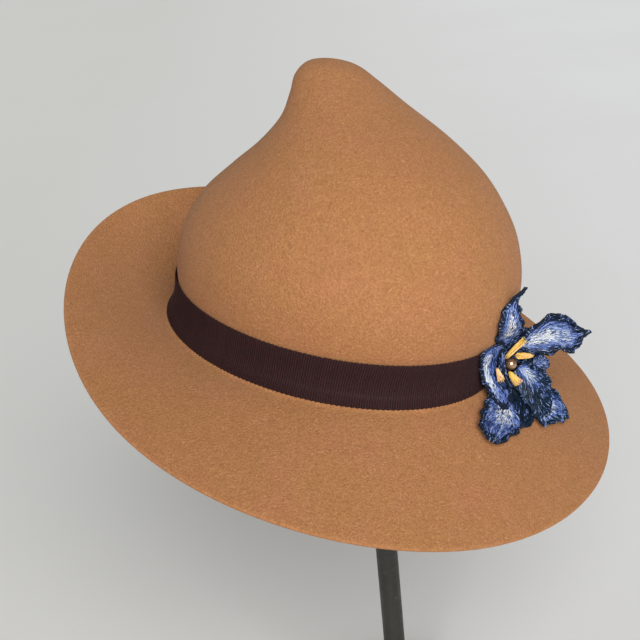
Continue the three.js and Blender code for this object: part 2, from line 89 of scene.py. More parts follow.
# Crown sections from brim to tip, each with its height as a share of the crown's, then its size and
# its forward shift as shares of half the head length.
CROWN_SECTIONS = [
    (0, 1, -0.001),
    (0.06, 0.965, 0.017),
    (0.14, 0.96, 0.039),
    (0.22, 0.98, 0.068),
    (0.34, 0.971, 0.096),
    (0.48, 0.892, 0.123),
    (0.6, 0.753, 0.158),
    (0.7, 0.61, 0.167),
    (0.8, 0.447, 0.097),
    (0.88, 0.312, -0.041),
    (0.94, 0.221, -0.145),
    (0.98, 0.137, -0.185),
    (1, 0, -0.197),
]

# Brim edge at equal steps from front to back: reach as a share of half the head length, rise as a
# share of the crown's height.
BRIM_STATIONS = [
    {"reach": 1.64, "rise": -0.26},
    {"reach": 1.592, "rise": -0.189},
    {"reach": 1.473, "rise": -0.051},
    {"reach": 1.436, "rise": 0.161},
    {"reach": 1.458, "rise": 0.275},
]

# Petals, a row for each section across the petal: its distance from the bead, its right and left
# edges, and the heights of the right edge, the middle and the left edge, all as shares of the petals'
# reach. Turn is the way that a petal points, from the flower's right.
PETALS = {
    "petal_left": {"turn": -90, "sections": [
        (-0.25, -0.55, -0.14, 0.19, 0.09, 0.02),
        (-0.16, -0.53, -0.08, 0.14, 0.035, -0.04),
        (-0.04, -0.46, -0.07, 0.06, -0.06, -0.09),
        (0.08, -0.4, -0.06, 0.03, -0.08, -0.09),
        (0.2, -0.34, -0.02, 0.02, -0.04, -0.04),
        (0.28, -0.31, -0.02, 0.08, 0.05, 0.04),
        (0.34, -0.28, -0.09, 0.15, 0.13, 0.14),
        (0.4, -0.25, -0.17, 0.21, 0.2, 0.21),
    ]},
    "petal_left_fold": {"turn": -80, "sections": [
        (-0.2, -0.14, -0.11, 0.02, 0.02, 0.02),
        (-0.08, -0.14, -0.08, -0.02, 0, -0.02),
        (0.04, -0.13, -0.08, -0.02, 0.01, -0.02),
        (0.14, -0.1, -0.04, 0, 0.02, 0),
        (0.24, -0.07, -0.02, 0.05, 0.06, 0.05),
    ]},
    "lip": {"turn": -45, "sections": [
        (0.09, -0.07, 0.13, 0, 0.02, 0),
        (0.22, -0.14, 0.24, 0.03, 0.06, 0.04),
        (0.36, -0.19, 0.22, 0.13, 0.12, 0.06),
        (0.48, -0.26, 0.19, 0.24, 0.17, 0.08),
        (0.57, -0.21, 0.13, 0.27, 0.2, 0.11),
        (0.64, -0.12, 0.02, 0.25, 0.21, 0.16),
    ]},
    "lip_lobe": {"turn": -99, "sections": [
        (0.27, 0.04, 0.17, -0.02, 0, -0.02),
        (0.36, 0.04, 0.27, 0.04, 0.06, 0.04),
        (0.44, 0.02, 0.26, 0.15, 0.15, 0.12),
        (0.52, -0.02, 0.24, 0.26, 0.24, 0.21),
        (0.58, -0.02, 0.14, 0.35, 0.33, 0.31),
    ]},
    "lip_crest": {"turn": -10, "sections": [
        (0.22, -0.02, 0.08, 0.07, 0.09, 0.07),
        (0.3, -0.02, 0.13, 0.1, 0.12, 0.1),
        (0.36, -0.01, 0.11, 0.12, 0.14, 0.12),
        (0.4, 0.02, 0.06, 0.13, 0.14, 0.13),
    ]},
    "petal_right": {"turn": 20, "sections": [
        (0.09, 0, 0.09, -0.13, -0.13, -0.13),
        (0.18, 0.03, 0.2, -0.05, -0.04, 0),
        (0.28, 0, 0.29, 0.02, 0, 0.08),
        (0.4, -0.06, 0.4, 0.12, 0.08, 0.18),
        (0.52, -0.05, 0.41, 0.18, 0.16, 0.26),
        (0.64, -0.11, 0.31, 0.24, 0.22, 0.3),
        (0.7, -0.05, 0.19, 0.28, 0.26, 0.32),
        (0.76, 0.05, 0.12, 0.34, 0.32, 0.34),
        (0.82, 0.07, 0.08, 0.36, 0.36, 0.36),
    ]},
    "petal_top": {"turn": 90, "sections": [
        (0.18, -0.04, 0.12, -0.11, -0.12, -0.1),
        (0.26, -0.08, 0.22, -0.07, -0.07, -0.04),
        (0.34, -0.11, 0.34, 0, 0.02, 0.15),
        (0.46, -0.02, 0.4, 0.13, 0.15, 0.24),
        (0.58, 0.08, 0.41, 0.19, 0.21, 0.28),
        (0.68, 0.14, 0.37, 0.22, 0.22, 0.25),
        (0.76, 0.18, 0.29, 0.23, 0.23, 0.25),
        (0.84, 0.13, 0.18, 0.24, 0.24, 0.25),
        (0.89, 0.09, 0.11, 0.25, 0.25, 0.25),
    ]},
    "petal_low_left": {"turn": -125, "sections": [
        (0.26, -0.02, 0.1, -0.1, -0.1, -0.08),
        (0.32, -0.04, 0.18, -0.04, 0, 0.04),
        (0.4, -0.08, 0.23, 0.03, 0.1, 0.19),
        (0.48, -0.14, 0.25, 0.11, 0.21, 0.31),
        (0.56, -0.19, 0.2, 0.19, 0.3, 0.4),
        (0.64, -0.26, 0.1, 0.27, 0.38, 0.46),
        (0.74, -0.31, -0.04, 0.38, 0.46, 0.52),
        (0.83, -0.25, -0.15, 0.5, 0.53, 0.56),
    ]},
    "petal_low_right": {"turn": -38, "sections": [
        (0.35, -0.18, -0.04, 0.06, 0, -0.02),
        (0.46, -0.3, 0.05, 0.24, 0.09, 0),
        (0.55, -0.34, 0.07, 0.32, 0.14, 0),
        (0.64, -0.29, 0.08, 0.31, 0.16, 0),
        (0.75, -0.21, 0.08, 0.28, 0.17, 0.03),
        (0.86, -0.15, 0.03, 0.25, 0.17, 0.08),
        (0.94, -0.08, -0.02, 0.21, 0.17, 0.13),
    ]},
}

# The dark stitching between the petals' feet, in the same columns
THROAT = {"turn": 0, "sections": [
    (-0.22, -0.1, 0.16, -0.08, -0.12, -0.08),
    (-0.08, -0.24, 0.3, -0.09, -0.14, -0.07),
    (0.08, -0.26, 0.34, -0.08, -0.14, -0.07),
    (0.24, -0.2, 0.34, -0.07, -0.13, -0.06),
    (0.36, -0.12, 0.28, -0.05, -0.1, -0.05),
    (0.44, 0, 0.16, -0.05, -0.07, -0.05),
]}

# How each petal is stitched. Tones run from 0, white, through pale, periwinkle, blue and navy to 5,
# black. The glow is a patch of lighter stitches. The second patch is of darker stitches, partly dark
# thread and partly painted shade in folds and where petals meet. Each patch has its middle along
# and across, then its size along and across, as shares of the petal. Tones are those in the glow
# and away from it. Border is the width of the dark edge in millimetres, and flecks is the share of
# stitches that break the pattern. Teal is how far dark stitches turn from navy to teal.
LOOKS = {
    "petal_left": {"glow": (0.42, 0.28, 0.42, 0.34), "shade_and_dark_thread": (0.5, 0.75, 0.3, 0.3),
                   "tones": (0, 2.5), "border": 2.4, "flecks": 0.13, "teal": 0.3},
    "petal_left_fold": {"glow": (0.1, 0.5, 0.4, 0.5), "shade_and_dark_thread": (0.8, 0.5, 0.3, 1),
                        "tones": (3.3, 4.3), "border": 0.6, "flecks": 0.16, "teal": 0.3},
    "lip": {"glow": (0.2, 0.5, 0.26, 0.24), "shade_and_dark_thread": (0.85, 0.1, 0.6, 0.6),
            "tones": (0.4, 4.2), "border": 2.4, "flecks": 0.14, "teal": 0.9},
    "lip_lobe": {"glow": (0.5, 0.15, 0.2, 0.2), "shade_and_dark_thread": (0.2, 0.6, 0.6, 0.6),
                 "tones": (3.6, 5), "border": 2, "flecks": 0.03, "teal": 0.6},
    "lip_crest": {"glow": (0.5, 0.4, 0.5, 0.4), "shade_and_dark_thread": (0, 0.5, 0.3, 1),
                  "tones": (1.2, 3.6), "border": 2, "flecks": 0.25, "teal": 0.7},
    "petal_right": {"glow": (0.34, 0.45, 0.42, 0.26), "shade_and_dark_thread": (0.6, 1, 0.6, 0.28),
                    "tones": (0, 2.4), "border": 3, "flecks": 0.14, "teal": 0.4},
    "petal_top": {"glow": (0.28, 0.45, 0.42, 0.3), "shade_and_dark_thread": (0.1, 0.5, 0.12, 1),
                  "tones": (0, 2.5), "border": 2.2, "flecks": 0.15, "teal": 0.5},
    "petal_low_left": {"glow": (0.4, 0.5, 0.42, 0.28), "shade_and_dark_thread": (0.1, 0.5, 0.15, 1),
                       "tones": (0, 2.4), "border": 2.6, "flecks": 0.16, "teal": 0.5},
    "petal_low_right": {"glow": (0.38, 0.45, 0.32, 0.32), "shade_and_dark_thread": (1, 0.8, 0.35, 0.5),
                        "tones": (0, 2.7), "border": 3.2, "flecks": 0.18, "teal": 1},
    "throat": {"glow": (0.5, 0.5, 0.3, 0.3), "shade_and_dark_thread": (0.4, 0.4, 0.4, 0.4),
               "tones": (3.7, 4), "border": 1, "flecks": 0.12, "teal": 0.6},
}

# Beards: both ends in the flower's frame and the widths there, as shares of the reach and of the
# beards' width, and how far the colour runs from yellow to peach at each end.
BEARDS = {
    "beard_top": {"from": (-0.11, 0.085, 0.03), "to": (0.065, 0.285, 0.105), "widths": (0.4, 0.8),
                  "peach": (0.7, 0.1)},
    "beard_right": {"from": (0.025, 0.095, 0.035), "to": (0.225, 0.085, 0.09), "widths": (0.8, 0.5),
                    "peach": (0.2, 0.9)},
    "beard_left": {"from": (-0.16, -0.035, -0.03), "to": (-0.12, -0.175, 0.015),
                   "widths": (0.25, 1), "peach": (0.8, 1)},
    "beard_low": {"from": (-0.055, -0.065, 0.045), "to": (0.035, -0.2, 0.11), "widths": (0.3, 1.3),
                  "peach": (0, 0.9)},
}

# How the tones of single stitches vary, in tones unless said otherwise
TONE_SPREAD = 1.5
STREAK_CONTRAST = 1.9
# how far the darker patch lowers the stitches' tone: partly dark thread, partly painted shade
SHADE_AND_DARK_THREAD_DEPTH = 1.6
BORDER_TONE = 4.4
BORDER_SPREAD = 0.8
FLECK_DARKER = 2.9  # how much darker a fleck is among light stitches
FLECK_PALE = (1.3, 2.7)  # the tones of flecks among dark stitches
FLECK_SPLIT = 2.4  # the tone that parts light from dark stitches
GLOW_FLECKS = 0.17  # the share of flecks that the glow adds
TEAL_FROM = 2.6  # the tone at which stitches start to turn teal
TEAL_RUN = 1.4

# Embroidery
GROUND_THICKNESS = 0.0008
GROUND_SHADE = 0.5  # the cloth's colour as a share of the stitches'
GROUND_ROWS = 30
GROUND_COLUMNS = 15
THREAD_WIDTH = 0.00036
THREAD_HEIGHT = 0.0003
STITCH_SHORT = 0.0018
STITCH_LONG = 0.0045
COVER = 2.2  # layers of stitches on each side of a petal
EDGE_PITCH = 0.00034
STITCH_LIFT = (0.00008, 0.00034)  # how far the stitches' middles stand off the cloth
STITCH_WIDTHS = (0.8, 1.15)  # as shares of the thread's width
STITCH_DRIFT = 0.03  # how far stitches slant, as a share of the petal's width
FAN = 1.9  # how far the stitches spread from a petal's base
RUFFLE = 0.0008  # how far a petal's edges wave
STREAK_SPACING = 0.0009
STREAK_STRETCH = 0.4  # under 1, streaks are longer along the petal
EDGE_REACH = (0.0008, 0.0021)  # how far in the stitches round the edge start
EDGE_OUT = (0.0001, 0.0006)  # how far past the edge they go
EDGE_SLANT = 0.00025
EDGE_BULGE = 0.0004
EDGE_WIDTH = 1.15  # the width of the threads round the edge, as a share of the others'

# The waves of a petal's edges, each with its length, its weight, and its shifts from petal to petal
# and across the petal
WAVES = [(0.0117, 0.5, 1, 2), (0.0063, 0.35, 3, 5), (0.0029, 0.25, 7, 3)]
FLUTTER_LENGTH = 0.006
WAVING_WIDTH = 0.25  # where a petal is narrower than this share of its reach, it waves less

# Beards' threads
BEARD_THREADS = 130
BEARD_TWIST = 1.2  # in radians
BEARD_TONES = (0.74, 1.14)
BEARD_THREAD_WIDTH = 1.2  # as a share of the petals' threads'
BEARD_CORE = 0.75  # the padding's thickness as a share of the beard's

# Ribbon. Its section runs up its back and down its front, in shares of its width and thickness.
RIB_PITCH = 0.00125
RIB_COLUMNS = 4  # of points in each rib
RIB_DEPTH = 0.38  # as a share of the ribbon's thickness
RIB_PAINTED_SHADE_AND_LIGHT = (0.45, 1.45)  # painted shade in the grooves between the ribs and painted light on their crests, as tints
PICK_LOOP = 0.00035  # how far the loops of the woven edges stand out
RIBBON_SECTION = [(0, 0), (0.5, 0), (1, 0), (1, 0.55), (0.98, 0.95), (0.75, 1), (0.5, 1), (0.25, 1),
                  (0.02, 0.95), (0, 0.55)]

# Felt
FELT_NOISE = 0.00035  # how far the blocked felt leaves its even form
FELT_NOISE_SPACING = 0.045
EDGE_ROUND = 0.0009
EDGE_TURNS = (25, 60, 90, 120, 155)  # the rows of the brim's rounded edge, from its upper side
EDGE_FULLNESS = 0.7  # under 1, the edge is fuller than an even round
AROUND = 256
CROWN_ROWS = 104
BREAK_ROWS = 6
BRIM_ROWS = 40

# Pearl, rod and foot
PEARL_ROWS = 40
PEARL_COLUMNS = 64
PEARL_UNEVEN = 0.012  # as a share of its radius
PEARL_DIMPLE = 0.00025
ROD_COLUMNS = 96
ROD_BEVEL = 0.0006
FOOT_COLUMNS = 192
FOOT_BEVEL = 0.0015

# Floor. Its colour gets lighter along a level direction: painted light, as of light falling off across
# it.
FLOOR_RADIUS = 9
FLOOR_THICKNESS = 0.02
FLOOR_DROP = 0.0005  # below the stand's foot
FLOOR_COLUMNS = 64
FLOOR_ACROSS = (0.78, -0.62, 0)
FLOOR_SPAN = (-0.5, 0.6)  # where along that direction it starts and ends


def linear(*srgb):
    """A colour of 0 to 255 as the linear numbers that shaders take."""
    share = np.array(srgb) / 255
    return np.where(share <= 0.04045, share / 12.92, ((share + 0.055) / 1.055) ** 2.4)


TONES = np.array([
    linear(247, 248, 245),
    linear(194, 208, 234),
    linear(124, 150, 216),
    linear(66, 91, 165),
    linear(15, 26, 56),
    linear(4, 7, 17),
])
TEAL = linear(7, 38, 62)
YELLOW = linear(255, 212, 62)
PEACH = linear(255, 204, 160)


def unit(vectors):
    return vectors / np.maximum(np.linalg.norm(vectors, axis=-1, keepdims=True), 1e-12)


def mix(a, b, share):
    return a + (b - a) * share


def smooth_curve(knots, places, power):
    """A smooth curve through the knots. Places run from 0 to 1. Power 0 spaces the knots evenly."""
    knots = np.asarray(knots, float)
    last = len(knots) - 1
    place = np.clip(np.asarray(places, float), 0, 1) * last
    piece = np.minimum(place.astype(int), last - 1)
    w = (place - piece)[..., None]
    padded = np.vstack([2 * knots[0] - knots[1], knots, 2 * knots[-1] - knots[-2]])
    p0, p1, p2, p3 = (padded[piece + i] for i in range(4))
    d0, d1, d2 = (
        np.maximum(np.linalg.norm(b - a, axis=-1, keepdims=True), 1e-9) ** power
        for a, b in ((p0, p1), (p1, p2), (p2, p3))
    )
    t1 = ((p1 - p0) / d0 - (p2 - p0) / (d0 + d1) + (p2 - p1) / d1) * d1
    t2 = ((p2 - p1) / d1 - (p3 - p1) / (d1 + d2) + (p3 - p2) / d2) * d1
    c2 = 3 * (p2 - p1) - 2 * t1 - t2
    c3 = 2 * (p1 - p2) + t1 + t2
    return p1 + t1 * w + c2 * w**2 + c3 * w**3


def run_length(points):
    """The length of a line of points from its start to each of them."""
    return np.concatenate([[0], np.cumsum(np.linalg.norm(np.diff(points, axis=0), axis=1))])


def turn_matrix(degrees, axis):
    return np.array(Matrix.Rotation(math.radians(degrees), 3, axis))


# From the hat's own frame, whose origin is the middle of the head opening, to the world
HAT_TURN = turn_matrix(TILT_FORWARD, "X") @ turn_matrix(TILT_LEFT, "Y")
HAT_SEAT = np.array([SEAT_LEFT, -SEAT_FRONT, SEAT_SHARE * CROWN_HEIGHT])
HAT_PLACE = np.array([0, 0, STAND_HEIGHT]) - HAT_TURN @ HAT_SEAT

CROWN_KNOTS = [(size, forward, height) for height, size, forward in CROWN_SECTIONS]


def crown_points(along, angle):
    """Points of the crown's outside. Along runs from 0 at the brim to 1 at the tip."""
    size, forward, height = np.moveaxis(smooth_curve(CROWN_KNOTS, along, 0.5), -1, 0)
    roundness = mix(HEAD_WIDTH / HEAD_LENGTH, 1, np.clip(height, 0, 1))
    half = size * HEAD_LENGTH / 2
    x = half * roundness * np.sin(angle)
    y = -forward * HEAD_LENGTH / 2 - half * np.cos(angle)
    return np.stack(np.broadcast_arrays(x, y, height * CROWN_HEIGHT), axis=-1)


def along_at_height(height):
    """The share of the crown's profile at which it passes a height in metres."""
    along = np.linspace(0, 1, 4000)
    heights = smooth_curve(CROWN_KNOTS, along, 0.5)[:, 2] * CROWN_HEIGHT
    return np.interp(height, heights, along)


def round_brim(column, angle):
    """A smooth even curve round the hat through one column of the brim's stations."""
    values = [station[column] for station in BRIM_STATIONS]
    last = len(values) - 1
    total = np.zeros_like(angle)
    for wave in range(last + 1):
        weight = sum(
            value * (0.5 if i in (0, last) else 1) * math.cos(math.pi * wave * i / last)
            for i, value in enumerate(values)
        )
        total += (1 if wave in (0, last) else 2) * weight / last * np.cos(wave * angle)
    return total


def brim_points(along, angle):
    """Points of the brim's upper side. Along runs from 0 at the crown to 1 at the edge."""
    reach = round_brim("reach", angle) + BRIM_WIDER_LEFT * np.clip(np.sin(angle), 0, 1) ** 2
    reach = reach * HEAD_LENGTH / 2
    edge = np.stack([reach * np.sin(angle), -reach * np.cos(angle), np.zeros_like(angle)], axis=-1)
    points = mix(crown_points(np.zeros_like(angle), angle), edge, along[..., None])
    points[..., 2] = round_brim("rise", angle) * CROWN_HEIGHT * along**BRIM_BOW
    return points


def outward_at(angle):
    """The level direction straight out of the crown."""
    level = np.stack([np.sin(angle) / HEAD_WIDTH, -np.cos(angle) / HEAD_LENGTH, 0 * angle], axis=-1)
    return unit(level)


def make_object(name, points, faces, material, tints=None, smooth=True):
    """A mesh whose closed surface faces out, with a tint for each point if given."""
    corners = np.array([(f[0], f[i], f[i + 1]) for f in faces for i in range(1, len(f) - 1)])
    a, b, c = (points[corners[:, i]] - points.mean(axis=0) for i in range(3))
    if np.einsum("ij,ij->i", a, np.cross(b, c)).sum() < 0:
        faces = [face[::-1] for face in faces]
    mesh = bpy.data.meshes.new(name)
    mesh.from_pydata(points.tolist(), [], faces)
    mesh.polygons.foreach_set("use_smooth", np.full(len(mesh.polygons), smooth))
    mesh.materials.append(material)
    if tints is not None:
        layer = mesh.color_attributes.new("tint", "FLOAT_COLOR", "POINT")
        layer.data.foreach_set("color", np.hstack([tints, np.ones((len(tints), 1))]).ravel())
    mesh.update()
    obj = bpy.data.objects.new(name, mesh)
    bpy.context.scene.collection.objects.link(obj)
    return obj


def ring_quads(rings, columns, loop):
    """Faces between rings of points that each close on themselves. A loop also joins the last
    ring to the first."""
    row = np.arange(rings if loop else rings - 1)[:, None]
    column = np.arange(columns)[None, :]
    after = (row + 1) % rings
    beside = (column + 1) % columns
    corners = [row * columns + column, row * columns + beside,
               after * columns + beside, after * columns + column]
    return np.stack(np.broadcast_arrays(*corners), axis=-1).reshape(-1, 4)


def pole_fan(pole, first, columns, turned):
    """Faces from one point to the ring of points that starts at the index first."""
    column = np.arange(columns)
    beside = (column + 1) % columns
    pair = (first + beside, first + column) if turned else (first + column, first + beside)
    return np.stack([np.full(columns, pole), *pair], axis=-1)


def capped_faces(rows, columns):
    """Faces of a tube of rings that is closed by two more points, one for each end."""
    faces = ring_quads(rows, columns, False).tolist()
    faces += pole_fan(rows * columns, 0, columns, True).tolist()
    faces += pole_fan(rows * columns + 1, (rows - 1) * columns, columns, False).tolist()
    return faces


def noise_at(points, spacing, seed):
    """Smooth noise from -1 to 1 with that spacing in metres."""
    shift = Vector((seed, seed * 2.3, seed * 5.1))
    flat = points.reshape(-1, 3) / spacing
    values = np.array([noise.noise(Vector(p) + shift) for p in flat.tolist()])
    return values.reshape(points.shape[:-1])


# Materials


class Shader:
    """A principled material whose colour and bump come from its own nodes."""

    def __init__(self, name, roughness, **sockets):
        self.material = bpy.data.materials.new(name)
        self.material.use_nodes = True
        self.nodes = self.material.node_tree.nodes
        self.links = self.material.node_tree.links
        self.surface = self.nodes["Principled BSDF"]
        self.surface.inputs["Roughness"].default_value = roughness
        for socket, value in sockets.items():
            self.surface.inputs[socket.replace("_", " ")].default_value = value
        self.place = self.nodes.new("ShaderNodeTexCoord").outputs["Object"]

    def noise(self, spacing, detail=2, stretch=(1, 1, 1)):
        """Noise with that spacing in metres, from 0 to 1."""
        mapping = self.nodes.new("ShaderNodeMapping")
        mapping.inputs["Scale"].default_value = stretch
        self.links.new(self.place, mapping.inputs["Vector"])
        texture = self.nodes.new("ShaderNodeTexNoise")
        texture.inputs["Scale"].default_value = 1 / spacing
        texture.inputs["Detail"].default_value = detail
        texture.inputs["Roughness"].default_value = 0.6
        self.links.new(mapping.outputs["Vector"], texture.inputs["Vector"])
        return texture.outputs["Fac"]

    def curls(self, spacing, width):
        """Thin curly lines, as of single hairs, that are 1 on the line and 0 away from it."""
        noise_value = self.noise(spacing, 2)
        noise_value.node.inputs["Distortion"].default_value = 1.2
        shifted = self.nodes.new("ShaderNodeMath")
        shifted.operation = "SUBTRACT"
        shifted.inputs[1].default_value = 0.5
        self.links.new(noise_value, shifted.inputs[0])
        away = self.nodes.new("ShaderNodeMath")
        away.operation = "ABSOLUTE"
        self.links.new(shifted.outputs[0], away.inputs[0])
        return self.ramp(away.outputs[0], width, 0)

    def ramp(self, value, low, high):
        """The value stretched so that low becomes 0 and high becomes 1."""
        node = self.nodes.new("ShaderNodeMapRange")
        node.inputs["From Min"].default_value = low
        node.inputs["From Max"].default_value = high
        self.links.new(value, node.inputs["Value"])
        return node.outputs["Result"]

    def mixed(self, share, a, b, blend="MIX"):
        """Two colours mixed by a share. Each of the three is a value or another node's output."""
        node = self.nodes.new("ShaderNodeMix")
        node.data_type = "RGBA"
        node.blend_type = blend
        for socket, value in ((node.inputs["Factor"], share), (node.inputs[6], a), (node.inputs[7], b)):
            if isinstance(value, bpy.types.NodeSocket):
                self.links.new(value, socket)
            elif isinstance(value, (int, float)):
                socket.default_value = value
            else:
                socket.default_value = (*value, 1)
        return node.outputs[2]

    def tint(self):
        node = self.nodes.new("ShaderNodeAttribute")
        node.attribute_name = "tint"
        return node.outputs["Color"]

    def colour(self, output):
        self.links.new(output, self.surface.inputs["Base Color"])

    def roughness(self, output):
        self.links.new(output, self.surface.inputs["Roughness"])

    def bump(self, *layers):
        """Bump from layers of height, each with its depth in metres."""
        before = None
        for height, depth in layers:
            node = self.nodes.new("ShaderNodeBump")
            node.inputs["Distance"].default_value = depth
            self.links.new(height, node.inputs["Height"])
            if before:
                self.links.new(before, node.inputs["Normal"])
            before = node.outputs["Normal"]
        self.links.new(before, self.surface.inputs["Normal"])


def felt_material():
    s = Shader("felt", 0.92, Sheen_Weight=0.22, Sheen_Roughness=0.45, Specular_IOR_Level=0.15)
    s.surface.inputs["Sheen Tint"].default_value = (*linear(226, 186, 158), 1)
    clouds = s.ramp(s.noise(0.034, 3), 0.38, 0.62)
    ground = s.mixed(clouds, linear(177, 121, 79), linear(175, 122, 77))
    rosy = s.ramp(s.noise(0.022, 3, (1, 1, 1.3)), 0.5, 0.68)
    ground = s.mixed(rosy, ground, s.mixed(0.22, ground, linear(188, 126, 98)))
    blotches = s.ramp(s.noise(0.0045, 3), 0.3, 0.7)
    ground = s.mixed(blotches, s.mixed(0.1, ground, linear(120, 74, 42)), ground)
    specks = s.ramp(s.noise(0.0011, 3), 0.34, 0.66)
    ground = s.mixed(specks, s.mixed(0.34, ground, linear(104, 62, 34)), ground)
    ground = s.mixed(s.curls(0.0024, 0.025), ground, s.mixed(0.4, ground, linear(222, 170, 120)))
    ground = s.mixed(s.curls(0.0031, 0.016), ground, s.mixed(0.4, ground, linear(92, 52, 30)))
    s.colour(ground)
    s.bump((s.noise(0.0013, 3), 0.0006), (s.noise(0.0006, 2), 0.0003))
    return s.material


def ribbon_material():
    s = Shader("ribbon", 0.75, Sheen_Weight=0.02, Sheen_Roughness=0.4, Specular_IOR_Level=0.15)
    weave = s.ramp(s.noise(0.0004, 2, (1, 1, 0.4)), 0.3, 0.7)
    ground = s.mixed(weave, linear(33, 17, 18), linear(57, 33, 35))
    s.colour(s.mixed(1.0, ground, s.tint(), "MULTIPLY"))
    s.bump((s.noise(0.00035, 2, (1, 1, 0.5)), 0.00008))
    return s.material


def thread_material(name, roughness):
    s = Shader(name, roughness, Sheen_Weight=0.02, Sheen_Roughness=0.35, Specular_IOR_Level=0.32)
    fibres = s.ramp(s.noise(0.0003, 2), 0.3, 0.7)
    s.colour(s.mixed(fibres, s.mixed(0.2, s.tint(), (0, 0, 0)), s.tint()))
    return s.material


def pearl_material():
    s = Shader("pearl", 0.22, Metallic=0.7, Coat_Weight=1.0, Coat_Roughness=0.1, Coat_IOR=2.1)
    cloud = s.ramp(s.noise(0.0025, 3), 0.3, 0.7)
    s.colour(s.mixed(cloud, linear(150, 104, 64), linear(190, 145, 102)))
    s.bump((s.noise(0.0008, 2), 0.00003))
    return s.material


def rod_material():
    s = Shader("stand_paint", 0.42, Metallic=0.25, Specular_IOR_Level=0.5)
    cloud = s.ramp(s.noise(0.012, 4, (1, 1, 0.25)), 0.3, 0.7)
    wear = s.ramp(s.noise(0.0025, 4), 0.62, 0.74)
    ground = s.mixed(cloud, linear(40, 39, 35), linear(56, 54, 49))
    s.colour(s.mixed(wear, ground, linear(78, 74, 66)))
    s.roughness(s.ramp(s.noise(0.006, 3), -0.6, 1.6))
    s.bump((s.noise(0.0012, 3), 0.00006))
    return s.material


def cap_material():
    s = Shader("cap_paint", 0.8)
    grain = s.ramp(s.noise(0.004, 4, (1, 0.15, 1)), 0.35, 0.65)
    s.colour(s.mixed(grain, linear(34, 33, 31), linear(52, 49, 45)))
    s.bump((s.noise(0.0015, 3, (1, 0.2, 1)), 0.00015))
    return s.material


def hub_material():
    s = Shader("hub_cloth", 0.8, Sheen_Weight=0.2)
    weave = s.ramp(s.noise(0.0006, 2), 0.35, 0.65)
    s.colour(s.mixed(weave, linear(16, 22, 40), linear(34, 46, 82)))
    s.bump((s.noise(0.0006, 2), 0.00015))
    return s.material


def floor_material():
    s = Shader("floor", 0.9, Specular_IOR_Level=0)
    cloud = s.ramp(s.noise(0.6, 4), 0.3, 0.7)
    across = s.nodes.new("ShaderNodeVectorMath")
    across.operation = "DOT_PRODUCT"
    across.inputs[1].default_value = FLOOR_ACROSS
    s.links.new(s.place, across.inputs[0])
    # Painted light: the floor's colour lightens along FLOOR_ACROSS, standing in for light that falls
    # off across the floor.
    lighter = s.ramp(across.outputs["Value"], *FLOOR_SPAN)
    floor_with_painted_light = s.mixed(lighter, linear(231, 231, 227), linear(249, 250, 250))
    s.colour(s.mixed(cloud, floor_with_painted_light, s.mixed(0.3, floor_with_painted_light, linear(236, 236, 235))))
    s.bump((s.noise(0.003, 3), 0.00005))
    return s.material


# Felt and ribbon


def felt_grid():
    """The felt's outside as rows from the tip to the brim's edge, in the hat's frame."""
    angle = np.linspace(0, 2 * math.pi, AROUND, endpoint=False)[None, :]
    wall_foot = along_at_height(BREAK_ROUND)
    crown_along = np.linspace(1, wall_foot, CROWN_ROWS + 1)[1:, None]
    crown = crown_points(crown_along, angle)
    corner = crown_points(np.zeros((1, 1)), angle)
    end = brim_points(np.full((1, AROUND), BREAK_END), angle)
    t = (np.arange(1, BREAK_ROWS + 1) / (BREAK_ROWS + 1))[:, None, None]
    turn = (1 - t) ** 2 * crown[-1:] + 2 * t * (1 - t) * corner + t**2 * end
    brim_along = np.linspace(BREAK_END, 1, BRIM_ROWS + 1)[:, None]
    brim = brim_points(np.broadcast_to(brim_along, (BRIM_ROWS + 1, AROUND)), angle)
    return np.concatenate([crown, turn, brim])


def grid_normals(grid):
    """The grid's normals and its directions down the rows, at each point."""
    down = np.gradient(grid, axis=0)
    round_it = np.roll(grid, -1, axis=1) - np.roll(grid, 1, axis=1)
    return unit(np.cross(down, round_it)), unit(down)


def felt_body(material):
    """The felt's wall, closed over the tip and rounded at the brim's edge."""
    grid = felt_grid()
    normals, _ = grid_normals(grid)
    grid = grid + normals * (FELT_NOISE * noise_at(grid, FELT_NOISE_SPACING, 3))[..., None]
    normals, down = grid_normals(grid)
    inside = grid - normals * FELT
    turn = np.radians(EDGE_TURNS)[:, None, None]
    middle = grid[-1] - normals[-1] * FELT / 2
    edge = (middle + normals[-1] * np.cos(turn) * FELT / 2
            + down[-1] * np.sin(turn) ** EDGE_FULLNESS * EDGE_ROUND)
    rings = np.concatenate([grid, edge, inside[::-1]])
    tip = crown_points(np.ones(1), np.zeros(1))[0]
    poles = [tip, tip - unit(normals[0].mean(axis=0)) * FELT]
    points = np.vstack([rings.reshape(-1, 3), poles]) @ HAT_TURN.T + HAT_PLACE
    return make_object("felt_hat", points, capped_faces(len(rings), AROUND), material)


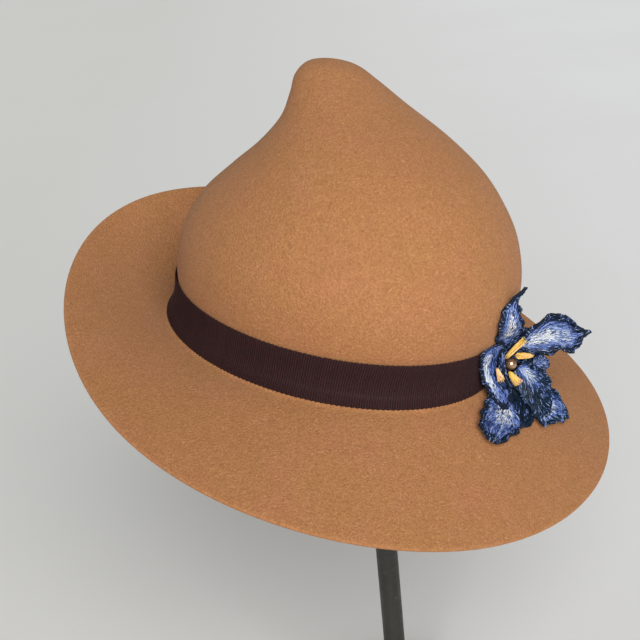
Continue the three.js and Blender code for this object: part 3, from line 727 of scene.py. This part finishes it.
def ribbon_band(material):
    """A band of ribbed ribbon whose woven edges end in small loops, and the band's length."""
    fine = np.linspace(0, 2 * math.pi, 4001)
    length = run_length(crown_points(along_at_height(RIBBON_WIDTH / 2), fine))
    ribs = 2 * round(length[-1] / RIB_PITCH / 2)
    columns = ribs * RIB_COLUMNS
    angle = np.interp(np.arange(columns) / columns * length[-1], length, fine)
    rib = 0.5 + 0.5 * np.cos(2 * math.pi * np.arange(columns) / RIB_COLUMNS)
    loop = 0.5 + 0.5 * np.cos(math.pi * np.arange(columns) / RIB_COLUMNS)
    rings = []
    for share, depth in RIBBON_SECTION:
        reach = PICK_LOOP * loop * (share > 0.9) - PICK_LOOP * loop * (share < 0.1)
        height = RIBBON_LIFT + RIBBON_WIDTH * share + reach
        offset = RIBBON_CLEARANCE + RIBBON_THICKNESS * depth * mix(1 - RIB_DEPTH, 1, rib)
        wall = crown_points(along_at_height(height), angle)
        rings.append(wall + outward_at(angle) * offset[:, None])
    points = np.concatenate(rings) @ HAT_TURN.T + HAT_PLACE
    faces = ring_quads(len(rings), columns, True)[:, ::-1].tolist()
    uneven = np.random.default_rng(11).uniform(0.92, 1.06, ribs).repeat(RIB_COLUMNS)
    # Painted shade and light: the tint darkens in the grooves and lightens on the rib crests, over an
    # uneven tone from rib to rib.
    tone = uneven * mix(*RIB_PAINTED_SHADE_AND_LIGHT, rib)
    tints = np.tile(tone, len(rings))[:, None] * np.ones(3)
    return make_object("ribbon_band", points, faces, material, tints), length[-1]


# Embroidered flower


def flower_matrix():
    """The flower's turn and place in the hat's frame, and from there in the world."""
    turn = math.radians(FLOWER_TURN)
    wall = crown_points(along_at_height(FLOWER_HEIGHT), np.array(turn))
    standoff = RIBBON_CLEARANCE + RIBBON_THICKNESS + FLOWER_STANDOFF
    place = wall + outward_at(np.array(turn)) * standoff
    face = turn_matrix(FLOWER_FACE, "Z") @ turn_matrix(90 - FLOWER_LIFT, "X")
    return HAT_TURN @ face, HAT_TURN @ place + HAT_PLACE


FLOWER_AXES, FLOWER_PLACE = flower_matrix()


class Petal:
    """A petal's middle surface: along runs from its base to its tip, across from right to left."""

    def __init__(self, name):
        shape = THROAT if name == "throat" else PETALS[name]
        self.turn = math.radians(shape["turn"])
        self.knots = shape["sections"]
        self.phase = sum(map(ord, name)) % 7
        self.length = (self.knots[-1][0] - self.knots[0][0]) * PETAL_REACH
        self.breadth = max(left - right for _, right, left, *_ in self.knots) * PETAL_REACH

    def points(self, along, across):
        """Places on the middle surface, in the flower's frame."""
        values = np.moveaxis(smooth_curve(self.knots, along, 0), -1, 0)
        at, right, left, lift_right, lift, lift_left = values
        beside = (2 * across - 1) ** 3 * np.clip((left - right) / WAVING_WIDTH, 0, 1)
        run = along * self.length * 2 * math.pi
        wave = sum(
            weight * np.sin(run / length + shift * self.phase + slant * across)
            for length, weight, shift, slant in WAVES
        )
        flutter = np.sin(run / FLUTTER_LENGTH + 2 * self.phase + 3 * across)
        side = mix(right, left, across) + beside * wave * RUFFLE / PETAL_REACH
        bow = 4 * across * (1 - across) * (lift - (lift_right + lift_left) / 2)
        rise = mix(lift_right, lift_left, across) + bow
        rise = rise + np.abs(beside) * flutter * RUFFLE / PETAL_REACH
        x = at * math.cos(self.turn) - side * math.sin(self.turn)
        y = at * math.sin(self.turn) + side * math.cos(self.turn)
        return np.stack([x, y, rise], axis=-1) * PETAL_REACH

    def normals(self, along, across):
        """The directions out of the surface's front."""
        step = 0.01
        ahead = self.points(along + step, across) - self.points(along - step, across)
        beside = self.points(along, across + step) - self.points(along, across - step)
        return unit(np.cross(ahead, beside))

    def width(self, along):
        """The width of the petal in metres, at shares of its length."""
        ends = [self.points(along, np.full_like(along, v)) for v in (0, 1)]
        return np.linalg.norm(ends[1] - ends[0], axis=-1)


def patch_depth(patch, along, across):
    """How deep in a patch of a petal places are, from 0 outside it to 1 in its middle."""
    middle_along, middle_across, size_along, size_across = patch
    away = np.hypot((along - middle_along) / size_along, (across - middle_across) / size_across)
    return 1 - np.clip(away, 0, 1) ** 2


def stitch_colours(name, petal, along, across, draws):
    """The colour of stitches at places on a petal, from its look and three draws from 0 to 1."""
    look = LOOKS[name]
    glow = patch_depth(look["glow"], along, across)
    # The darker patch darkens stitches, partly as dark thread and partly as painted shade in folds and
    # where petals meet.
    shade_and_dark_thread = patch_depth(look["shade_and_dark_thread"], along, across)
    streak_places = [across * petal.breadth, along * petal.length * STREAK_STRETCH, 0 * along]
    streaks = noise_at(np.stack(streak_places, axis=-1), STREAK_SPACING, petal.phase)
    tone = mix(look["tones"][1], look["tones"][0], glow) + SHADE_AND_DARK_THREAD_DEPTH * shade_and_dark_thread
    tone = tone + (draws[0] - 0.5) * TONE_SPREAD + STREAK_CONTRAST * streaks
    side = np.minimum(across, 1 - across) * petal.width(along)
    edge = np.minimum(side, (1 - along) * petal.length)
    border = look["border"] * 0.001 * mix(0.6, 1.3, draws[1])
    tone = np.where(edge < border, BORDER_TONE + BORDER_SPREAD * (draws[0] - 0.5), tone)
    fleck = draws[2] < look["flecks"] + GLOW_FLECKS * glow
    broken = np.where(tone > FLECK_SPLIT, mix(*FLECK_PALE, draws[0]), tone + FLECK_DARKER)
    tone = np.clip(np.where(fleck, broken, tone), 0, len(TONES) - 1)
    steps = range(len(TONES))
    colours = np.stack([np.interp(tone, steps, TONES[:, i]) for i in range(3)], axis=-1)
    dark = np.clip((tone - TEAL_FROM) / TEAL_RUN, 0, 1) * look["teal"]
    return mix(colours, TEAL, dark[..., None])


def thread_mesh(paths, normals, width, height, colours):
    """Closed three-sided threads along paths, pointed at both ends."""
    count, steps = paths.shape[:2]
    tangent = unit(np.gradient(paths, axis=1))
    side = unit(np.cross(tangent, normals))
    inner = slice(1, steps - 1)
    middle, up, out = paths[:, inner], normals[:, inner], side[:, inner] * width / 2
    rings = np.stack([middle - out, middle + up * height, middle + out], axis=2)
    body = rings.reshape(count, -1, 3)
    points = np.concatenate([paths[:, :1], body, paths[:, -1:]], axis=1)
    each = points.shape[1]
    faces = []
    for j in range(3):
        k = (j + 1) % 3
        faces.append((0, 1 + j, 1 + k))
        faces.append((each - 1, each - 4 + k, each - 4 + j))
        for ring in range(steps - 3):
            low, high = 1 + 3 * ring, 4 + 3 * ring
            faces.append((low + j, high + j, high + k, low + k))
    starts = np.arange(count) * each
    built = []
    for size in (3, 4):
        pattern = np.array([f for f in faces if len(f) == size])
        built += (starts[:, None, None] + pattern[None]).reshape(-1, size).tolist()
    return points.reshape(-1, 3), built, np.repeat(colours, each, axis=0)


def joined(parts):
    """Points, faces and tints of several meshes as one."""
    points, faces, tints, start = [], [], [], 0
    for part_points, part_faces, part_tints in parts:
        points.append(part_points)
        faces += [[i + start for i in face] for face in part_faces]
        tints.append(part_tints)
        start += len(part_points)
    return np.concatenate(points), faces, np.concatenate(tints)


def ground_mesh(name, petal):
    """The cloth that the stitches cover: a closed sheet on both sides of the middle surface."""
    rows, columns = GROUND_ROWS, GROUND_COLUMNS
    along, across = np.meshgrid(np.linspace(0, 1, rows), np.linspace(0, 1, columns), indexing="ij")
    middle, normals = petal.points(along, across), petal.normals(along, across)
    front = middle + normals * GROUND_THICKNESS / 2
    back = middle - normals * GROUND_THICKNESS / 2
    rings = np.concatenate([front, back[:, ::-1]], axis=1)
    points = np.vstack([rings.reshape(-1, 3), middle[0, columns // 2], middle[-1, columns // 2]])
    even = np.full((3, *along.shape), 0.5)
    tints = stitch_colours(name, petal, along, across, even) * GROUND_SHADE
    tints = np.concatenate([tints, tints[:, ::-1]], axis=1).reshape(-1, 3)
    return points, capped_faces(rows, 2 * columns), np.vstack([tints, tints[:1], tints[-1:]])


def satin_stitches(name, petal, side, rng):
    """Long and short stitches that run from the petal's base outwards, on one of its sides."""
    rows, columns, step = 60, 30, 0.01
    u, v = np.meshgrid(np.linspace(0, 1, rows + 1), np.linspace(0, 1, columns + 1), indexing="ij")
    grid = petal.points(u, v)
    sides = np.cross(grid[1:, :-1] - grid[:-1, :-1], grid[:-1, 1:] - grid[:-1, :-1])
    area = np.linalg.norm(sides, axis=-1)
    mean = (STITCH_SHORT + STITCH_LONG) / 2
    count = int(COVER * area.sum() / (THREAD_WIDTH * mean))
    cell = rng.choice(area.size, count, p=area.ravel() / area.sum())
    along = (cell // columns + rng.random(count)) / rows
    across = (cell % columns + rng.random(count)) / columns
    ahead = petal.points(along + step, across) - petal.points(along - step, across)
    slope = np.linalg.norm(ahead, axis=-1)
    reach = rng.uniform(STITCH_SHORT, STITCH_LONG, count) / np.maximum(slope / (2 * step), 0.004)
    steps = np.linspace(-0.5, 0.5, 5)[None, :]
    places = np.clip(along[:, None] + reach[:, None] * steps, 0.005, 0.995)
    drift = rng.normal(0, STITCH_DRIFT, count)[:, None] * steps
    fan = 1 + FAN * steps * reach[:, None] / (along[:, None] + 0.2)
    beside = np.clip(0.5 + (across[:, None] - 0.5) * fan + drift, 0.01, 0.99)
    normals = petal.normals(places, beside) * side
    lift = rng.uniform(*STITCH_LIFT, count)[:, None] * np.cos(math.pi * steps)
    paths = petal.points(places, beside) + normals * (GROUND_THICKNESS / 2 + lift)[..., None]
    colours = stitch_colours(name, petal, along, across, rng.random((3, count)))
    width = THREAD_WIDTH * rng.uniform(*STITCH_WIDTHS, count)[:, None, None]
    return thread_mesh(paths, normals, width, THREAD_HEIGHT, colours)


def edge_stitches(name, petal, rng):
    """Short stitches wrapped over the petal's edge, uneven enough to make it ragged."""
    side_steps, tip_steps = 400, 60
    run = np.linspace(0, 1, side_steps)
    u = np.concatenate([run, np.ones(tip_steps), run[::-1]])
    v = np.concatenate([np.zeros(side_steps), np.linspace(0, 1, tip_steps), np.ones(side_steps)])
    length = run_length(petal.points(u, v))
    count = int(length[-1] / EDGE_PITCH)
    at = np.linspace(0, length[-1], count)
    u, v = np.interp(at, length, u), np.interp(at, length, v)
    points, normals = petal.points(u, v), petal.normals(u, v)
    inward = petal.points(mix(u, 0.5, 0.06), mix(v, 0.5, 0.3)) - points
    inward = unit(inward - normals * np.einsum("ij,ij->i", inward, normals)[:, None])
    run_along = unit(np.gradient(points, axis=0))
    room = np.minimum(petal.width(u) * 0.45, EDGE_REACH[1])
    reach = np.minimum(rng.uniform(*EDGE_REACH, count), room)[:, None]
    out = rng.uniform(*EDGE_OUT, count)[:, None]
    slant = rng.normal(0, EDGE_SLANT, count)[:, None] * run_along
    half = GROUND_THICKNESS / 2
    paths = np.stack([
        points + inward * reach + normals * half + slant,
        points + inward * reach * 0.5 + normals * (half + EDGE_BULGE) + slant,
        points - inward * out,
        points + inward * reach * 0.5 - normals * (half + EDGE_BULGE) - slant,
        points + inward * reach - normals * half - slant,
    ], axis=1)
    front_up, back_up = unit(normals - inward * 0.3), unit(-normals - inward * 0.3)
    ups = np.stack([normals, front_up, -inward, back_up, -normals], axis=1)
    draws = rng.random((3, count))
    draws[2] = mix(0.5 * LOOKS[name]["flecks"], 1, draws[2])
    colours = stitch_colours(name, petal, u, v, draws)
    return thread_mesh(paths, ups, THREAD_WIDTH * EDGE_WIDTH, THREAD_HEIGHT, colours)


def in_the_flower(points):
    """Points in the flower's frame as points in the world."""
    return points @ FLOWER_AXES.T + FLOWER_PLACE


def petal_piece(name, material):
    """A petal's cloth with the stitches on both its sides and round its edge."""
    petal = Petal(name)
    rng = np.random.default_rng(sum(map(ord, name)))
    parts = [ground_mesh(name, petal)]
    parts += [satin_stitches(name, petal, side, rng) for side in (1, -1)]
    parts.append(edge_stitches(name, petal, rng))
    points, faces, tints = joined(parts)
    return make_object(f"{name}_embroidery", in_the_flower(points), faces, material, tints)


def beard_threads(beard, start, end, beside, up, rng):
    """The threads of a beard, which run along it and slant round its padding."""
    count = BEARD_THREADS
    angle = rng.uniform(0, 2 * math.pi, count)
    share = np.sort(rng.random((count, 2)), axis=1) * 0.85 + np.array([-0.08, 0.24])
    steps = np.linspace(0, 1, 6)
    places = share[:, :1] + (share[:, 1:] - share[:, :1]) * steps
    radius = BEARD_WIDTH / 2 * mix(*beard["widths"], places)
    twist = angle[:, None] + rng.normal(0, BEARD_TWIST, count)[:, None] * (steps - 0.5)
    out = np.cos(twist)[..., None] * beside + np.sin(twist)[..., None] * up
    spread = radius * rng.uniform(0.75, 1.35, count)[:, None] * np.sin(math.pi * steps) ** 0.07
    paths = start + (end - start) * places[..., None] + out * spread[..., None]
    peach = mix(*beard["peach"], share.mean(axis=1)) + rng.normal(0, 0.25, count)
    colours = mix(YELLOW, PEACH, np.clip(peach, 0, 1)[:, None])
    colours = colours * rng.uniform(*BEARD_TONES, count)[:, None]
    return thread_mesh(paths, out, THREAD_WIDTH * BEARD_THREAD_WIDTH, THREAD_HEIGHT, colours)


def beard_padding(beard, start, end, beside, up):
    """The padding under a beard's threads."""
    rows = columns = 12
    turns = np.linspace(0, 2 * math.pi, columns, endpoint=False)
    shares = np.linspace(0, 1, rows)[:, None]
    taper = np.sin(np.clip(shares, 0.05, 0.95) * math.pi) ** 0.4
    core = BEARD_WIDTH / 2 * BEARD_CORE * mix(*beard["widths"], shares) * taper
    spoke = np.cos(turns)[None, :, None] * beside + np.sin(turns)[None, :, None] * up
    rings = start + (end - start) * shares[..., None] + spoke * core[..., None]
    points = np.vstack([rings.reshape(-1, 3), start, end])
    tone = np.clip(mix(*beard["peach"], np.linspace(0, 1, rows)), 0, 1).repeat(columns)
    tints = mix(YELLOW, PEACH, tone[:, None]) * 0.7
    return points, capped_faces(rows, columns), np.vstack([tints, tints[:1], tints[-1:]])


def beard_piece(name, material):
    """A padded bundle of threads from one end of a beard to the other."""
    beard = BEARDS[name]
    rng = np.random.default_rng(sum(map(ord, name)))
    start, end = (np.array(beard[k]) * PETAL_REACH for k in ("from", "to"))
    direction = unit(end - start)
    beside = unit(np.cross(direction, [0, 0, 1.0]))
    up = np.cross(beside, direction)
    threads = beard_threads(beard, start, end, beside, up, rng)
    padding = beard_padding(beard, start, end, beside, up)
    points, faces, tints = joined([padding, threads])
    return make_object(f"{name}_stitching", in_the_flower(points), faces, material, tints)


def lathe(name, profile, columns, material, smooth=True):
    """A closed body of (radius, height) points turned about an upright axis."""
    turns = np.linspace(0, 2 * math.pi, columns, endpoint=False)
    rings = np.array([[(r * math.cos(t), r * math.sin(t), z) for t in turns] for r, z in profile])
    points = np.vstack([rings.reshape(-1, 3), (0, 0, profile[0][1]), (0, 0, profile[-1][1])])
    faces = capped_faces(len(profile), columns)
    return make_object(name, points, faces, material, smooth=smooth)


def pearl(material):
    """A slightly uneven pearl with a small dimple in its front."""
    radius = BEAD_DIAMETER / 2
    profile = []
    for turn in np.linspace(0.02, math.pi - 0.02, PEARL_ROWS):
        dimple = PEARL_DIMPLE * math.exp(-((math.pi - turn) / 0.2) ** 2)
        profile.append((radius * math.sin(turn), -(radius - dimple) * math.cos(turn)))
    obj = lathe("pearl_bead", profile, PEARL_COLUMNS, material)
    co = np.array([v.co for v in obj.data.vertices])
    co *= 1 + PEARL_UNEVEN * noise_at(co, 0.004, 5)[:, None]
    obj.data.vertices.foreach_set("co", in_the_flower(co).ravel())
    obj.data.update()
    return obj


def rounded(radius, low, high, bevel, steps=5):
    """A profile of a plain round bar or plate whose two rims are rounded."""
    turns = [math.pi / 2 * i / steps for i in range(steps + 1)]
    inner = radius - bevel
    lower = [(inner + bevel * math.sin(t), low + bevel * (1 - math.cos(t))) for t in turns]
    upper = [(inner + bevel * math.cos(t), high - bevel * (1 - math.sin(t))) for t in turns]
    return lower + upper


def stand(material):
    """The rod and the foot, at the sizes that their nodes have."""
    (_, _, rod_low), (rod_radius, _, rod_high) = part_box("stand_rod")
    (_, _, foot_low), (foot_radius, _, foot_high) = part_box("stand_foot")
    rod_profile = rounded(rod_radius, rod_low, rod_high, ROD_BEVEL)
    foot_profile = rounded(foot_radius, foot_low, foot_high, FOOT_BEVEL)
    rod = lathe("stand_rod_bar", rod_profile, ROD_COLUMNS, material)
    foot = lathe("stand_foot_plate", foot_profile, FOOT_COLUMNS, material)
    return rod, foot


# Putting it together


def settle(obj, node):
    """Let an object ride the body and stand for a node of the frame."""
    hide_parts(node)
    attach(obj, "root")


settle(felt_body(felt_material()), "felt_body")
band, band_length = ribbon_band(ribbon_material())
settle(band, "ribbon")

petal_thread = thread_material("petal_thread", 0.45)
for petal_name in PETALS:
    settle(petal_piece(petal_name, petal_thread), petal_name)
throat = petal_piece("throat", petal_thread)
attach(throat, "root")
beard_thread = thread_material("beard_thread", 0.5)
for beard_name in BEARDS:
    settle(beard_piece(beard_name, beard_thread), beard_name)
settle(pearl(pearl_material()), "bead")

rod_bar, foot_plate = stand(rod_material())
settle(rod_bar, "stand_rod")
settle(foot_plate, "stand_foot")
for node_name, node_material in (("stand_cap", cap_material()), ("flower_hub", hub_material())):
    node_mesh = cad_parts[node_name].data
    node_mesh.materials.clear()
    node_mesh.materials.append(node_material)

# Floor, light and camera

floor_profile = [(FLOOR_RADIUS, -FLOOR_THICKNESS - FLOOR_DROP), (FLOOR_RADIUS, -FLOOR_DROP)]
floor = lathe("floor", floor_profile, FLOOR_COLUMNS, floor_material(), smooth=False)

KEY_STRENGTH = 3.85
KEY_ANGLE = 50  # the apparent size of the light
KEY_FROM = (-0.455, -0.75, 0.48)  # from the hat towards the light
AMBIENT = 0.14  # the brightness of the light from all round
BACKDROP = 0.6  # the brightness of the empty room behind the floor

key_data = bpy.data.lights.new("key", "SUN")
key_data.energy = KEY_STRENGTH
key_data.angle = math.radians(KEY_ANGLE)
key = bpy.data.objects.new("key", key_data)
key.rotation_euler = Vector(KEY_FROM).to_track_quat("Z", "Y").to_euler()
bpy.context.scene.collection.objects.link(key)

world = bpy.data.worlds.new("studio")
bpy.context.scene.world = world
world.use_nodes = True
background = world.node_tree.nodes["Background"]
background.inputs["Color"].default_value = (1, 1, 0.99, 1)
ray = world.node_tree.nodes.new("ShaderNodeLightPath")
seen = world.node_tree.nodes.new("ShaderNodeMapRange")
seen.inputs["To Min"].default_value = AMBIENT
seen.inputs["To Max"].default_value = BACKDROP
world.node_tree.links.new(ray.outputs["Is Camera Ray"], seen.inputs["Value"])
world.node_tree.links.new(seen.outputs["Result"], background.inputs["Strength"])

camera_data = bpy.data.cameras.new("camera")
camera_data.lens = CAMERA_LENS
camera_data.sensor_width = CAMERA_SENSOR
camera_data.clip_end = CAMERA_CLIP
camera = bpy.data.objects.new("camera", camera_data)
camera.location = CAMERA_PLACE
aim = Vector(CAMERA_LOOK).to_track_quat("-Z", "Y").to_matrix()
roll = Matrix.Rotation(math.radians(CAMERA_ROLL), 3, "Z")
camera.rotation_euler = (aim @ roll).to_euler()
bpy.context.scene.collection.objects.link(camera)
bpy.context.scene.camera = camera
bpy.context.scene.view_settings.view_transform = "Standard"
